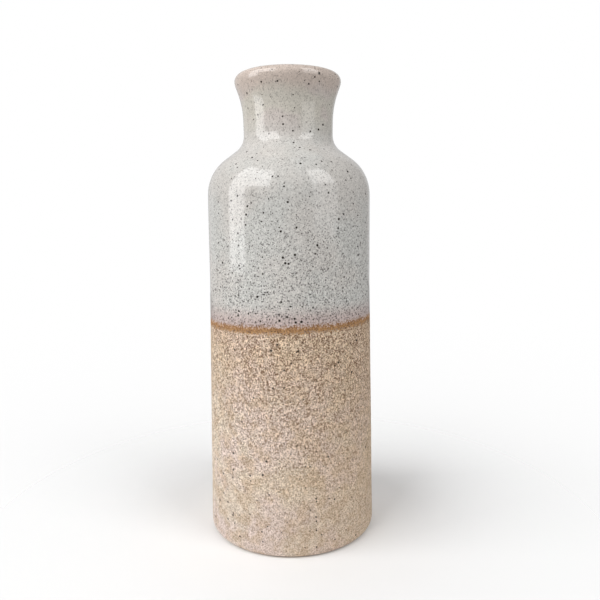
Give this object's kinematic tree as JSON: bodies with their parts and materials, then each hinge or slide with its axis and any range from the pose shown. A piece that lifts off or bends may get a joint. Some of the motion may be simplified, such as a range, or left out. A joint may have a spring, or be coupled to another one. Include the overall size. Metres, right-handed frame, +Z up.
{
  "type": "bottle vase",
  "caption": "Tall round bottle vase in stoneware with a sloping shoulder, short neck and rolled lip, glossy speckled glaze above a brown line and a matt sandy coat below.",
  "frame": {"origin": "centre of the foot, on the surface that the vase stands on", "axes": "+Z up along the axis that the vase was turned on; -Y towards the viewer"},
  "size_m": [0.1078, 0.1078, 0.288],
  "materials": {
    "clay": "matte",
    "luting_slip": "matte",
    "sand_slip": "matte",
    "iron_oxide": "satin",
    "gloss_glaze": "gloss",
    "liner_glaze": "gloss"
  },
  "bodies": {
    "root": {"lower_body": "clay", "upper_body": "clay", "neck_and_lip": "clay", "body_seam_slip": "luting_slip", "neck_seam_slip": "luting_slip", "sand_slip_coat": "sand_slip", "iron_band": "iron_oxide", "gloss_glaze": "gloss_glaze", "liner_glaze": "liner_glaze"}
  },
  "joints": []
}
